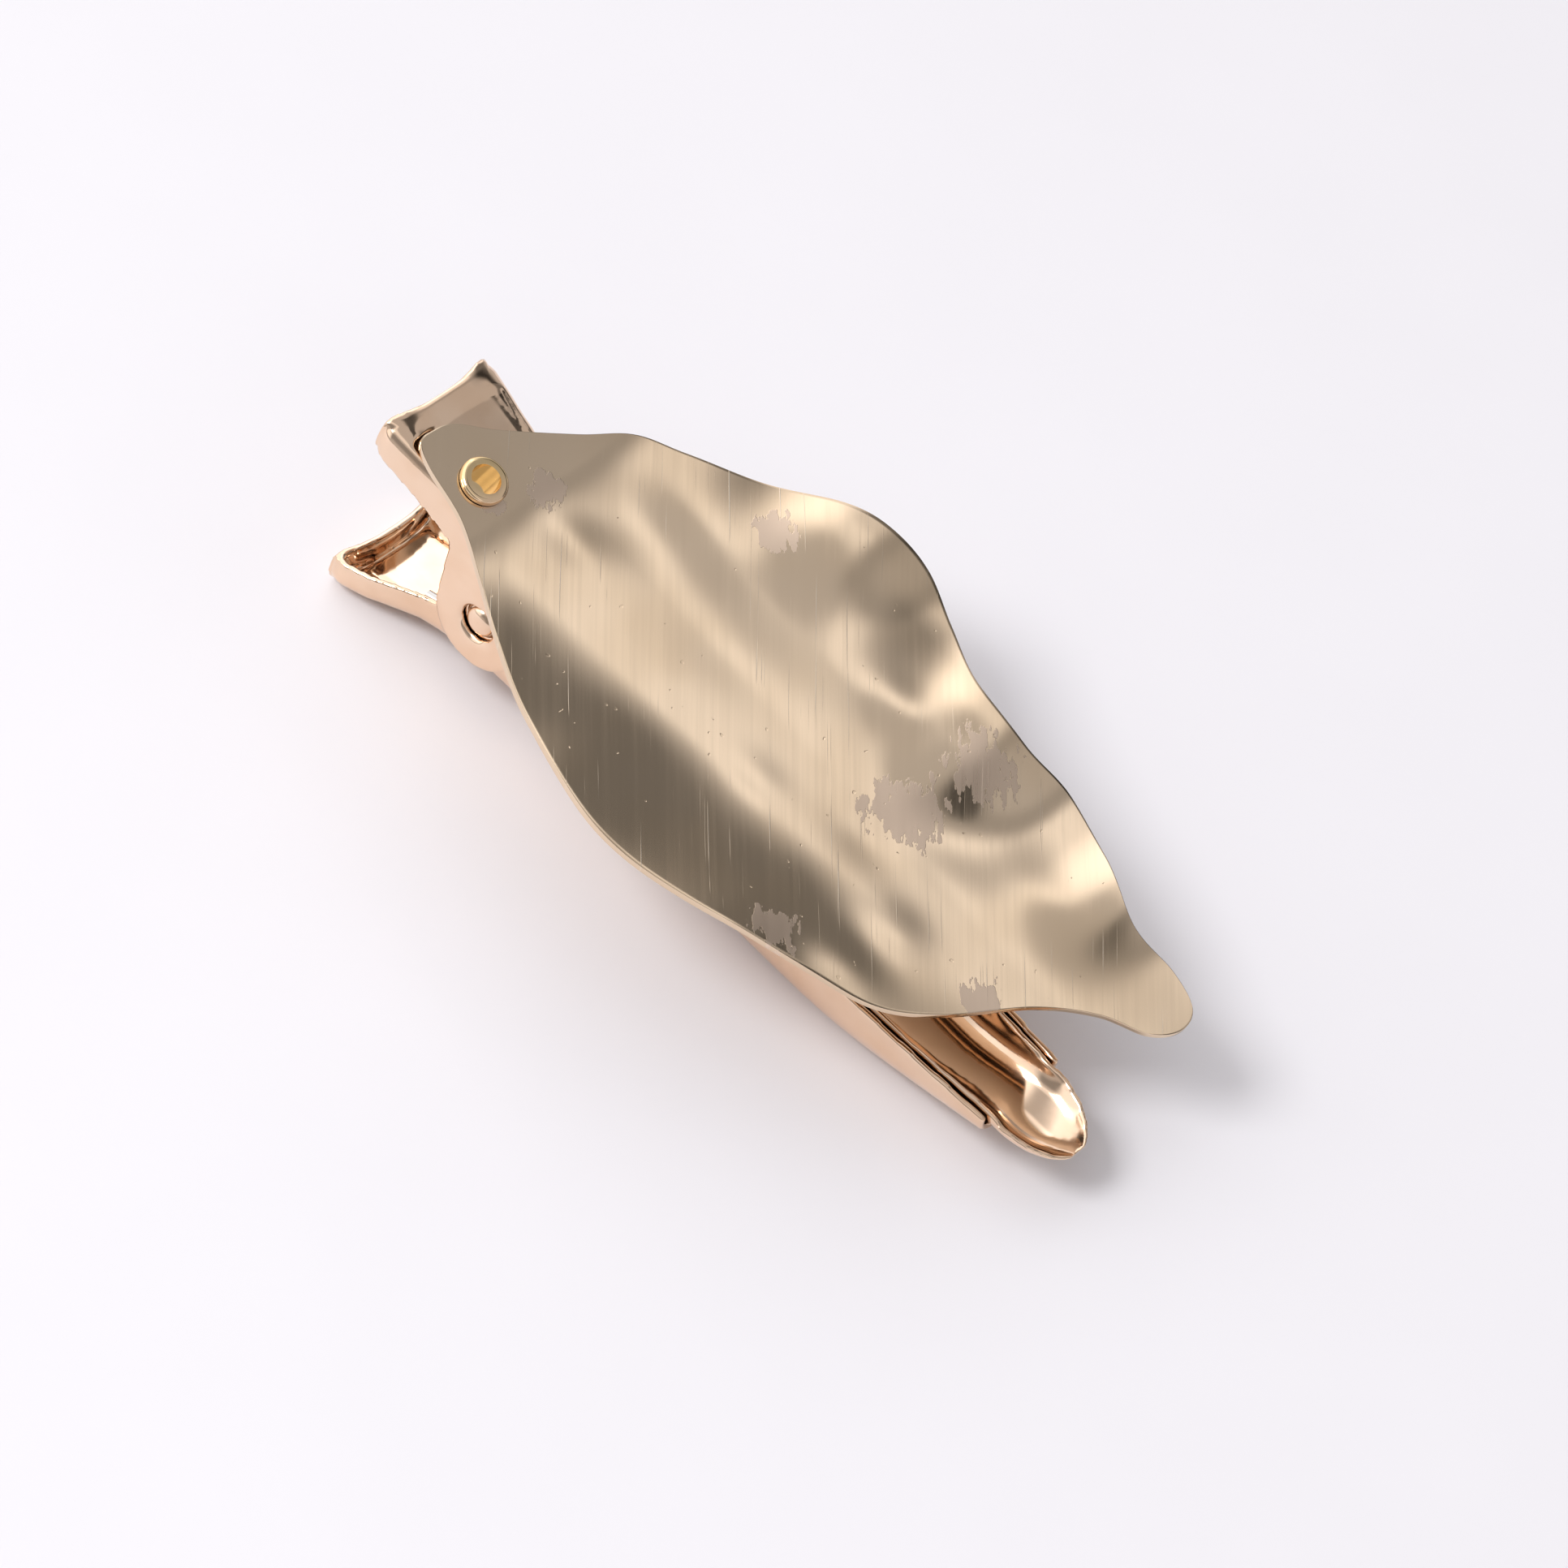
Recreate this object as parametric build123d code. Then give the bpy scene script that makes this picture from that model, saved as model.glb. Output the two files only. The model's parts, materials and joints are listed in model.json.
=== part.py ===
from build123d import *

import os
from math import acos, atan2, cos, degrees, exp, hypot, pi, sin

# Alligator hair clip, millimetres. X runs from the thumb tabs to the jaw tip, Y to the
# clip's left and Z up. The clip is drawn about its hinge axis, which is the Y axis, and
# moved at the end so that the origin is at the middle of its base.

# Driving dimensions
SHEET = 0.5             # thickness of both levers
PLATE = 0.45            # thickness of the leaf plate
FLOOR_Z = -7.0          # what the closed clip stands on, below the hinge axis
PIN_R = 1.3             # hinge pin
PIN_PLAY = 0.05         # running clearance of the pin in the upper ears
PIN_HALF = 4.3          # half the pin's length
EAR_Y = 4.4             # outer face of the upper lever's ears
EAR_R = 3.7             # their round ends
INNER_EAR_Y = 3.7       # outer face of the lower lever's ears
INNER_EAR_R = 3.3
EAR_ROOT_Z = 4.6        # where the upper ears join their flanges
INNER_EAR_ROOT_Z = -2.6
DISH_R = 1.75           # dished mouth of the upper ears' holes
DISH_DEPTH = 0.3
TAB_REAR_X = -12.2      # middle of the thumb tabs' rear edges is a little ahead of this
NOTCH_DEPTH = 1.2       # how far the tabs' rear edges curve in
TAB_REAR_Z = 11.2       # height of the upper tab there
TAB_SLOPE = 0.3         # fall of the upper tab per millimetre forward
TRAY_REAR_Z = -6.5      # height of the lower tab's pressed panel there
TRAY_SLOPE = 0.225      # its rise per millimetre forward
TAB_HALF = 5.75         # half the tabs' width at the rear
RIVET_X = -4.6
RIVET_Y = -2.25
RIVET_SHANK_R = 1.3
RIVET_HEAD_R = 1.75
RIVET_RIM = 0.5         # height of the rivet's rolled rim
RIVET_CLENCH_R = 1.4    # flare under the lever
RIVET_CLENCH = 0.35
RIVET_HOLE_R = 1.1      # hollow of the tubular rivet
RIVET_HOLE = 1.3        # its depth from just above the rim
RIVET_PLAY = 0.06       # gap under the rivet's rim and over its clench
WIRE_R = 0.4            # spring wire
COIL_R = 2.8            # mean radius of the spring's coil
COIL_PITCH = 0.85
COIL_TURNS = 4          # whole turns, to which the angle between the legs is added
UPPER_LEG_END = (-8.2, 8.6)     # ends of the spring's legs, X and Z
LOWER_LEG_END = (-5.4, -4.2)
PLATE_LIFT = 0.06       # gap between the plate and the lever under it
BEND_X = -2.0           # where the plate leaves the tab
PLATE_FALL = 0.112      # fall of the plate per millimetre ahead of it
BEND_DROP = 0.6         # further drop round the bend
BEND_LENGTH = 3.2
LEFT_WAVE = 0.5         # height and length of the waves along the plate's left edge
LEFT_WAVE_LENGTH = 16.0
LEFT_WAVE_START = 9.0   # where they start, from the plate's middle
LEFT_LIFT = 0.45        # how far each long edge turns up
RIGHT_LIFT = 1.35
RIGHT_LIFT_START = -2.5

# Stations of the sheet channels: x, half width, depth, rim height, squareness of the corners
LOWER_STATIONS = [
    (TAB_REAR_X - 0.6, 5.85, 3.0, -4.2, 5.0),
    (-8.4, 5.15, 3.0, -3.35, 5.0),
    (-4.6, 3.85, 3.0, -2.45, 5.0),
    (0.0, INNER_EAR_Y, 3.2, -1.45, 5.0),
    (4.6, INNER_EAR_Y, 3.9, -0.75, 5.0),
    (10.0, 4.3, 4.5, -0.5, 4.5),
    (20.0, 4.85, 5.2, -0.6, 3.8),
    (30.0, 4.85, 5.7, -1.1, 3.2),
    (36.0, 4.7, 5.75, -1.4, 2.8),
    (42.5, 4.4, 4.6, -1.75, 2.4),
    (48.4, 4.06, 3.0, -2.05, 2.1),
]
UPPER_TAB_STATIONS = [
    (TAB_REAR_X - 0.6, TAB_HALF, 3.0, 8.38, 4.0),
    (-8.2, 5.1, 3.2, 6.8, 5.5),
    (-4.2, EAR_Y + 0.1, 4.0, 4.8, 8.0),
    (0.0, EAR_Y, 4.2, 3.34, 8.0),
    (4.0, EAR_Y, 2.4, 3.7, 7.0),
]
UPPER_JAW_STATIONS = [
    (1.0, 3.4, 0.66, 6.95, 4.0),
    (5.5, 3.4, 0.66, 5.3, 4.0),
    (10.0, 3.6, 0.7, 3.3, 4.0),
    (14.5, 3.9, 0.95, 1.6, 4.0),
    (20.0, 4.2, 1.7, -0.2, 3.6),
    (28.0, 4.2, 2.9, -0.8, 3.1),
    (36.0, 4.05, 3.7, -1.3, 2.7),
    (43.0, 3.75, 3.6, -1.7, 2.4),
    (48.4, 3.4, 2.3, -1.95, 2.2),
    (49.6, 3.55, 2.2, -2.1, 2.1),
    (51.6, 3.0, 1.9, -2.35, 2.1),
    (53.0, 2.1, 1.35, -2.55, 2.1),
    (53.65, 1.3, 0.9, -2.65, 2.0),
    (53.9, 0.85, 0.65, -2.7, 2.0),
]
# Leaf plate's outline, seen from above, anticlockwise from the rear
LEAF_OUTLINE = [
    (-8.9, -4.3), (-7.2, -5.0), (-3.3, -5.5), (0.4, -7.2), (4.8, -9.8), (10.4, -12.5),
    (18.5, -14.7), (26.3, -13.1), (34.3, -9.7), (39.2, -7.5), (42.4, -3.8), (45.7, 2.1),
    (48.8, 5.6), (51.9, 7.5), (53.1, 9.6), (52.4, 11.5), (49.6, 12.4), (45.5, 12.5),
    (40.8, 14.9), (35.9, 16.6), (31.5, 16.2), (26.3, 16.9), (21.8, 19.2), (18.0, 20.8),
    (14.2, 20.6), (10.6, 19.2), (5.9, 15.6), (1.4, 12.5), (-1.6, 10.3), (-3.7, 6.5),
    (-6.8, 1.4), (-8.7, -1.2), (-9.1, -3.0),
]
STATION_STEP = 1.6      # spacing of the cross-sections between the stations
CURVE_STEPS = 16        # spans along a channel's cross-section
GRID_STEP = 2.0         # spacing of the plate's surface points
FAR = 80.0              # larger than the clip
STAND = (Align.CENTER, Align.CENTER, Align.MIN)
HANG = (Align.CENTER, Align.CENTER, Align.MAX)


def bowl(x, half, depth, rim, power, opens):
    """Points of a channel's cross-section, a squared ellipse, from one rim to the other."""
    points = []
    for step in range(CURVE_STEPS + 1):
        angle = pi * step / CURVE_STEPS
        side = 1 if cos(angle) > 0 else -1
        across = side * abs(cos(angle)) ** (2 / power) if step != CURVE_STEPS / 2 else 0.0
        down = sin(angle) ** (2 / power) if 0 < step < CURVE_STEPS else 0.0
        points.append((x, half * across, rim - opens * depth * down))
    return points


def sheet_section(station, opens):
    """The bent sheet at one station: outer curve, inner curve and the two rims."""
    x, half, depth, rim, power = station
    outer = bowl(x, half, depth, rim, power, opens)
    inner = bowl(x, half - SHEET, depth - SHEET, rim, power, opens)[::-1]
    edges = [Spline(*outer), Line(outer[-1], inner[0]), Spline(*inner), Line(inner[-1], outer[0])]
    return make_face(edges)


def full_section(station, opens):
    """The same station filled up to its rims."""
    x, half, depth, rim, power = station
    outer = bowl(x, half, depth, rim, power, opens)
    return make_face([Spline(*outer), Line(outer[-1], outer[0])])


def slope_at(stations, index, column):
    """Slope of one column of the stations: the line through the neighbours."""
    before = stations[max(index - 1, 0)]
    after = stations[min(index + 1, len(stations) - 1)]
    return (after[column] - before[column]) / (after[0] - before[0])


def smooth_stations(stations):
    """The stations with closely spaced ones between them, on smooth cubics."""
    fine = []
    for index, (low, high) in enumerate(zip(stations, stations[1:])):
        run = high[0] - low[0]
        steps = max(round(run / STATION_STEP), 1)
        for step in range(steps):
            t = step / steps
            row = [low[0] + t * run]
            for column in range(1, len(low)):
                start_slope = slope_at(stations, index, column) * run
                end_slope = slope_at(stations, index + 1, column) * run
                rise = high[column] - low[column]
                bend = start_slope + end_slope - 2 * rise
                curve = (3 * rise - 2 * start_slope - end_slope) + bend * t
                row.append(low[column] + t * (start_slope + t * curve))
            fine.append(tuple(row))
    return fine + [stations[-1]]


def channel(stations, opens):
    """A bent sheet lofted through its stations. opens is 1 upwards and -1 downwards."""
    return loft([sheet_section(station, opens) for station in smooth_stations(stations)], ruled=True)


def notch_cylinder(offset):
    """The round cutter that curves a tab's rear edge in, or the same plus offset."""
    radius = (TAB_HALF ** 2 + NOTCH_DEPTH ** 2) / (2 * NOTCH_DEPTH)
    centre_x = TAB_REAR_X + NOTCH_DEPTH - radius
    return Pos(centre_x, 0, 0) * Cylinder(radius + offset, FAR)


def rear_wall(stations, opens):
    """The rim folded along a tab's curved rear edge."""
    near = smooth_stations(stations)[:4]
    block = loft([full_section(station, opens) for station in near], ruled=True)
    return block & (notch_cylinder(SHEET) - notch_cylinder(0))


def ears(outer_y, radius, top_z):
    """A pair of hinge ears, round about the hinge axis, that reach up or down to top_z."""
    root = Line((-radius - 0.4, top_z), (radius + 0.4, top_z))
    outline = make_hull([*Circle(radius).edges(), root])
    pair = []
    for side in (-1, 1):
        middle_y = side * (outer_y - SHEET / 2)
        plane = Plane(origin=(0, middle_y, 0), x_dir=(1, 0, 0), z_dir=(0, -1, 0))
        pair.append(extrude(plane * outline, SHEET / 2, both=True))
    return pair


def rod(start, end, radius):
    """A round bar between two points."""
    start = Vector(start)
    way = Vector(end) - start
    return extrude(Plane(origin=start, z_dir=way) * Circle(radius), way.length)


def pin_bore(radius):
    """A cylinder along the hinge axis, right through the clip."""
    return rod((0, -FAR / 2, 0), (0, FAR / 2, 0), radius)


def countersink(side):
    """The dished mouth of the upper ear's hole, in which the pin's end shows."""
    mouth = Plane(origin=(0, side * EAR_Y, 0), z_dir=(0, -side, 0))
    return loft([mouth * Circle(DISH_R), mouth.offset(DISH_DEPTH) * Circle(PIN_R + PIN_PLAY)])


def panel_block(x_low, x_high, half, z_at_rear, slope, height):
    """A block that lies along a sloping tab: the tool or the pad of its pressed panel."""
    run = x_high - x_low
    tilt = degrees(atan2(slope * run, run))
    middle = Vector((x_low + x_high) / 2, 0, z_at_rear + slope * (x_low + run / 2 - TAB_REAR_X))
    return Pos(middle) * Rot(0, -tilt, 0) * Box(run, 2 * half, 2 * height)


def lower_lever():
    """Bottom jaw and lower thumb tab: one channel that opens upwards, with ears inside."""
    body = channel(LOWER_STATIONS, 1) - notch_cylinder(0)
    body = body + rear_wall(LOWER_STATIONS, 1)
    body = body + ears(INNER_EAR_Y, INNER_EAR_R, INNER_EAR_ROOT_Z)
    body = body + panel_block(-10.2, -5.0, 3.0, TRAY_REAR_Z, TRAY_SLOPE, 0.3)
    body = body - pin_bore(PIN_R)
    ground = Pos(0, 0, FLOOR_Z - FAR / 2) * Box(2 * FAR, FAR, FAR)
    return body - ground


def upper_lever():
    """Top jaw and upper thumb tab: tab flanges and ears turned down, jaw dished upwards."""
    tab = channel(UPPER_TAB_STATIONS, -1) - notch_cylinder(0)
    tab = tab + rear_wall(UPPER_TAB_STATIONS, -1)
    tab = tab + ears(EAR_Y, EAR_R, EAR_ROOT_Z)
    tab = tab - panel_block(-10.2, -3.0, 3.6, TAB_REAR_Z, -TAB_SLOPE, 0.2)
    body = tab + channel(UPPER_JAW_STATIONS, 1)
    body = body - pin_bore(PIN_R + PIN_PLAY) - countersink(-1) - countersink(1)
    return body - rivet_bore()


def hinge_pin():
    """Plain pin through all four ears, with domed ends."""
    pin = rod((0, -PIN_HALF, 0), (0, PIN_HALF, 0), PIN_R)
    return fillet(pin.edges().filter_by(GeomType.CIRCLE), 0.7 * PIN_R)


def leg_angle(end_x, end_z, turn):
    """Angle on the coil at which a leg to the given end leaves it."""
    reach = hypot(end_x, end_z)
    return degrees(atan2(end_z, end_x)) + turn * degrees(acos(COIL_R / reach))


def leg_length(end_x, end_z):
    """Length of the straight leg from the coil to the given end."""
    return (end_x ** 2 + end_z ** 2 - COIL_R ** 2) ** 0.5


def torsion_spring():
    """Coil about the pin, with one leg under each thumb tab to push them apart."""
    start = leg_angle(*LOWER_LEG_END, 1)
    finish = leg_angle(*UPPER_LEG_END, -1)
    turns = COIL_TURNS + ((finish - start) % 360) / 360
    height = COIL_PITCH * turns
    helix = Helix(COIL_PITCH, height, COIL_R, lefthand=True)
    lower_leg = Line(helix @ 0 - (helix % 0) * leg_length(*LOWER_LEG_END), helix @ 0)
    upper_leg = Line(helix @ 1, helix @ 1 + (helix % 1) * leg_length(*UPPER_LEG_END))
    path = Wire([*lower_leg.edges(), *helix.edges(), *upper_leg.edges()])
    wire = sweep(Plane(origin=path @ 0, z_dir=path % 0) * Circle(WIRE_R), path=path)
    lay = Plane(origin=(0, -height / 2, 0), x_dir=(1, 0, 0), z_dir=(0, 1, 0))
    return lay * Rot(0, 0, -start) * wire


def web_top(x):
    """Height of the upper lever's flat tab."""
    return TAB_REAR_Z - TAB_SLOPE * (x - TAB_REAR_X)


def rivet_plane():
    """Seat of the rivet on the tab, square to it."""
    return Plane(origin=(RIVET_X, RIVET_Y, web_top(RIVET_X)), x_dir=(1, 0, -TAB_SLOPE),
                 z_dir=(TAB_SLOPE, 0, 1))


def rivet_bore():
    """The hole through lever and plate for the rivet's shank."""
    return rivet_plane() * Cylinder(RIVET_SHANK_R, 6)


def plate_rivet():
    """Tubular rivet: rolled rim above the plate, shank, and a clenched flare below."""
    top = PLATE + PLATE_LIFT
    bottom = -SHEET
    head = Pos(0, 0, top + RIVET_PLAY) * Cylinder(RIVET_HEAD_R, RIVET_RIM, align=STAND)
    head = fillet(head.edges().group_by(Axis.Z)[-1], 0.6 * RIVET_RIM)
    clench = Pos(0, 0, bottom - 2 * RIVET_PLAY) * Cylinder(RIVET_CLENCH_R, RIVET_CLENCH, align=HANG)
    clench = fillet(clench.edges().group_by(Axis.Z)[0], 0.5 * RIVET_CLENCH)
    hollow = Pos(0, 0, top + RIVET_PLAY + RIVET_RIM) * Cylinder(RIVET_HOLE_R, RIVET_HOLE, align=HANG)
    shank = Pos(0, 0, (top + bottom) / 2) * Cylinder(RIVET_SHANK_R, top - bottom + 4 * RIVET_PLAY)
    return rivet_plane() * (shank + head + clench - hollow)


def ease(t):
    """Smooth step from 0 to 1."""
    t = min(max(t, 0.0), 1.0)
    return t * t * (3 - 2 * t)


def spine_height(x):
    """Height of the plate's top along its length: flat on the tab, then level with the jaw."""
    ahead = max(x - BEND_X, 0.0)
    tab_top = web_top(min(x, BEND_X)) + PLATE_LIFT + PLATE
    return tab_top - PLATE_FALL * ahead - BEND_DROP * (1 - exp(-ahead / BEND_LENGTH))


def ripple(x, y):
    """Waves along the beaten leaf's left edge, and the lift of its right edge."""
    onset = LEFT_WAVE_START - 5 * ease((x - 22) / 8)
    left = ease((y - onset) / 10) * (1 - ease((x - 42) / 8))
    right = ease((RIGHT_LIFT_START - y + 0.1 * (x - 22)) / 15) * (1 - 0.6 * ease((x - 28) / 10))
    height = LEFT_WAVE * left * sin(2 * pi * (x - 9) / LEFT_WAVE_LENGTH)
    height += right * (RIGHT_LIFT + 0.2 * sin(2 * pi * (x - 27) / 15))
    height += LEFT_LIFT * ease((y - 3) / 14)
    return height * ease((x - BEND_X + 1) / 9)


def leaf_plate():
    """Thin beaten leaf, riveted to the upper lever and wider than it on both sides."""
    columns = int(68 / GRID_STEP) + 1
    rows = int(42 / GRID_STEP) + 1
    grid = []
    for i in range(columns):
        x = -11 + i * GRID_STEP
        line = [-18 + j * GRID_STEP for j in range(rows)]
        grid.append([Vector(x, y, spine_height(x) + ripple(x, y)) for y in line])
    surface = Face.make_surface_from_array_of_points(grid)
    slab = Solid.extrude(surface, Vector(0, 0, -PLATE))
    outline = make_face(Spline(*LEAF_OUTLINE, periodic=True))
    return (slab & extrude(outline, FAR, both=True)) - rivet_bore()


def main():
    os.makedirs("parts", exist_ok=True)
    pieces = {
        "lower_lever": lower_lever(),
        "upper_lever": upper_lever(),
        "hinge_pin": hinge_pin(),
        "torsion_spring": torsion_spring(),
        "plate_rivet": plate_rivet(),
        "leaf_plate": leaf_plate(),
    }
    solids = [Compound(children=piece.solids()) for piece in pieces.values()]
    box = Compound(children=solids).bounding_box()
    shift = Vector(-box.center().X, -box.center().Y, -box.min.Z)
    print("hinge axis at", shift)
    for name, piece in pieces.items():
        export_step(Pos(shift) * piece, f"parts/{name}.step")


main()
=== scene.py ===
import json
from math import exp, hypot, pi, radians, sin

import bpy
from mathutils import Matrix, Vector

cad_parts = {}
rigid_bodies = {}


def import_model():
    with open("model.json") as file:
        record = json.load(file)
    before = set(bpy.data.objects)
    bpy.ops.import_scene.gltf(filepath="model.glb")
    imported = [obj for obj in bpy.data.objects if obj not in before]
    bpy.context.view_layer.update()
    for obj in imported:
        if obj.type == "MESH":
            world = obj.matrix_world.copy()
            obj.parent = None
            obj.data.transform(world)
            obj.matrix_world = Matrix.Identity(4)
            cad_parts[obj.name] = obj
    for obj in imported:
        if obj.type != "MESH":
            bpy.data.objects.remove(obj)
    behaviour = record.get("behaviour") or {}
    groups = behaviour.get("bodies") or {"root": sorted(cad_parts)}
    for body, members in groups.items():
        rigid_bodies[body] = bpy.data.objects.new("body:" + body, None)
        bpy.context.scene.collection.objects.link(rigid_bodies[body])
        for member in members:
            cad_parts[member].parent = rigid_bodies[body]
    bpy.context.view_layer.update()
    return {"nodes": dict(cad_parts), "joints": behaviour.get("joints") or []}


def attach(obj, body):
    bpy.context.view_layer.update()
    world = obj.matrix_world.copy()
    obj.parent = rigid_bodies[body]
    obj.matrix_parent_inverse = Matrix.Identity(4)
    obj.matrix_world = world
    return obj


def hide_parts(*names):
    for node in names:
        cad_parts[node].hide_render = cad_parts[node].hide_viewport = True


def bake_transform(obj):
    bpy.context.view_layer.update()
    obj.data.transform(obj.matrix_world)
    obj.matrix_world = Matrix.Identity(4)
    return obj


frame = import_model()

bl_info = {
    "name": "Beaten Leaf Hair Clip",
    "version": (1, 0, 0),
    "blender": (4, 5, 0),
    "location": "3D View > Sidebar > Hair Clip",
    "description": "Builds a gold alligator hair clip with a beaten leaf plate around its packed frame",
    "category": "Object",
}

MM = 0.001
JOINT = frame["joints"][0]
HINGE = Vector(JOINT["pos_m"])
LOWER, UPPER = JOINT["parent"], JOINT["child"]

# The leaf's outline, seen from above, in millimetres from the hinge axis, anticlockwise
LEAF_OUTLINE = [
    (-8.9, -4.3), (-7.2, -5.0), (-3.3, -5.5), (0.4, -7.2), (4.8, -9.8), (10.4, -12.5),
    (18.5, -14.7), (26.3, -13.1), (34.3, -9.7), (39.2, -7.5), (42.4, -3.8), (45.7, 2.1),
    (48.8, 5.6), (51.9, 7.5), (53.1, 9.6), (52.4, 11.5), (49.6, 12.4), (45.5, 12.5),
    (40.8, 14.9), (35.9, 16.6), (31.5, 16.2), (26.3, 16.9), (21.8, 19.2), (18.0, 20.8),
    (14.2, 20.6), (10.6, 19.2), (5.9, 15.6), (1.4, 12.5), (-1.6, 10.3), (-3.7, 6.5),
    (-6.8, 1.4), (-8.7, -1.2), (-9.1, -3.0),
]
REAR_RIGHT, TIP_RIGHT = 1, 13       # outline points where the right long edge starts and ends
REAR_LEFT, TIP_LEFT = 31, 15        # and the left one
LEAF_MIDDLE = Vector((22, 3))
LEAF_TRIM = 0.997                   # keeps the leaf just inside its packed box
LEAF_COLUMNS, LEAF_ROWS = 240, 110  # faces along and across the leaf
LEAF_BEVEL = 0.09                   # rounding of the leaf's edges, mm
TAB_REAR_X, TAB_REAR_Z, TAB_SLOPE = -12.2, 11.2, 0.3
PLATE_LIFT, PLATE = 0.06, 0.45      # gap under the leaf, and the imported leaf's thickness, mm
BEND_X, PLATE_FALL, BEND_DROP, BEND_LENGTH = -2.0, 0.112, 0.6, 3.2
RIVET_X, RIVET_Y = -4.6, -2.25
CORNER_X, CORNER_Y = -10.3, 4.0     # centres of the thumb tabs' rounded corners
# Waves along the leaf's left edge and a lift of its right one, mm from the hinge axis
LEFT_WAVE, LEFT_WAVE_LENGTH, LEFT_WAVE_SHIFT = 0.5, 16.0, 9
LEFT_WAVE_START, LEFT_WAVE_SPREAD, LEFT_WAVE_WIDENING = 9.0, 10, 5
LEFT_WAVE_WIDENS, LEFT_WAVE_ENDS, WAVE_CHANGE = 22, 42, 8
LEFT_LIFT, LEFT_LIFT_START, LEFT_LIFT_SPREAD = 0.45, 3, 14
RIGHT_LIFT, RIGHT_LIFT_START, RIGHT_LIFT_SPREAD = 1.35, -2.5, 15
RIGHT_LIFT_SLANT, RIGHT_LIFT_LOSS, RIGHT_LIFT_FALLS, RIGHT_LIFT_CHANGE = 0.1, 0.6, 28, 10
RIGHT_WAVE, RIGHT_WAVE_LENGTH, RIGHT_WAVE_SHIFT = 0.2, 15, 27
RIPPLE_RAMP = 9                     # length over which the ripple grows ahead of the bend
# Dents beaten into the leaf: x, y, height, radius along and across, mm
DENTS = [
    (33.0, 7.0, -0.12, 3.5, 3.0), (4.0, 6.0, -0.12, 3.5, 3.0), (22.5, -1.5, 0.05, 2.4, 1.6),
    (36.0, -2.0, 0.12, 2.6, 2.0), (36.0, -7.0, 0.16, 3.0, 2.2), (2.0, 0.5, 0.08, 2.4, 1.8),
    (24.0, 11.0, 0.10, 2.2, 2.0), (28.5, 13.0, -0.08, 1.8, 1.8), (9.0, 9.0, 0.08, 3.0, 2.6),
    (41.0, 9.0, 0.08, 2.6, 2.2),
    (30.0, 1.5, -0.08, 3.0, 2.0), (14.0, 4.0, -0.07, 5.0, 3.0),
]
SOFTEN_ROUNDS, FOLD_ROUNDS, TIP_ROUNDS = 8, 30, 140     # rounds of relaxing on the levers
# Folded top edges of the upper tab, mm: how far down they reach and where they end
FOLD_DEPTH, FOLD_FADE, FOLD_END, FOLD_RUN = 1.4, 0.8, -8.5, 3
# Bowl of the upper jaw's tip, mm: its start, the line of its rim and the margin under it
TIP_START, TIP_RUN = 38, 6
TIP_RIM_X, TIP_RIM_Z, TIP_RIM_FALL = 48.4, -1.95, 0.11
TIP_MARGIN, TIP_FADE, TIP_RIM_SHARE = 0.3, 0.6, 0.08
# Pressed panel of the upper tab, mm: half width and flare, rear and front ends, and its walls
PANEL_DEPTH, PANEL_HALF, PANEL_FLARE, PANEL_FLARE_X = 0.2, 4.55, 0.16, -9
PANEL_REAR, PANEL_REAR_CURVE, PANEL_FRONT = -9.9, 0.02, -3.5
PANEL_SIDE_WALL, PANEL_REAR_WALL, PANEL_FRONT_WALL = 0.5, 0.6, 2
PANEL_REACH, PANEL_REACH_FADE = 1.0, 0.6        # how far below the tab's top it presses
# Patches of painted reflection on the leaf, pinkish beige: x, y and radius, mm
REFLECTION_PATCHES = [
    (-1.8, 1.6, 1.3), (30.0, 5.4, 2.6), (30.8, 12.4, 2.4), (9.4, 13.4, 1.5), (31.0, -9.6, 1.7),
    (43.0, -0.6, 1.5), (-3.0, -2.6, 0.9),
]
STREAK_TURN = radians(46)           # turns the drawn streaks onto a pattern's X
# Sizes of the finishes' patterns, metres
STREAK_GRAIN = (0.03, 0.0004, 0.03)
SCRATCH_GRAIN = (0.016, 0.00014, 0.016)
RAGGED_GRAIN = (0.0018, 0.0007, 0.0018)
SMEAR_GRAIN = (0.006, 0.0012, 0.0012)
CLOUD_GRAIN, RUBBED_GRAIN, PIT_GRAIN = 0.011, 0.009, 0.0006
STAIN_GRAIN, WAVE_GRAIN = 0.004, 0.0022
STREAK_DEPTH, WAVE_DEPTH = 0.00002, 0.00006
RAGGEDNESS = 2.6                    # how far the patches' edges wander, in radii
LEAF_ROUGHNESS = 0.11
PLATING_ROUGHNESS = {"lever": 0.09, "pin": 0.12, "rivet": 0.08, "spring": 0.2}
# The studio's bright and dark areas, as components of the direction from the clip: the first
# and last number bound an area, and it is at its fullest between the other two
FAR_STRIP, FAR_WALL = (0.49, 0.56, 0.58, 0.65), (0.62, 0.72, 0.86, 1.0)
NEAR_STRIP, NEAR_WALL = (0.34, 0.44, 0.54, 0.66), (0.66, 0.76, 0.9, 1.0)
CARD = (0.0, 0.1, 0.14, 0.2)
SCREEN_ACROSS, SCREEN_ALONG = (0.07, 0.09, 0.3, 0.34), (0.2, 0.24, 0.47, 0.49)
ROOM_LIGHT = 0.54
CLIP_MIDDLE = Vector((22, 0, 0))                    # what the key light is aimed at, mm
KEY_OFFSET = Vector((-0.30, -0.42, 0.56))           # from there to the light, metres
CAMERA_TARGET = Vector((22.55, 2.37, 1.62))         # mm from the hinge axis
SENSOR_WIDTH = 36                                   # mm


def ease(t):
    """Smooth step from 0 to 1."""
    t = min(max(t, 0.0), 1.0)
    return t * t * (3 - 2 * t)


# Blender housekeeping

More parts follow.
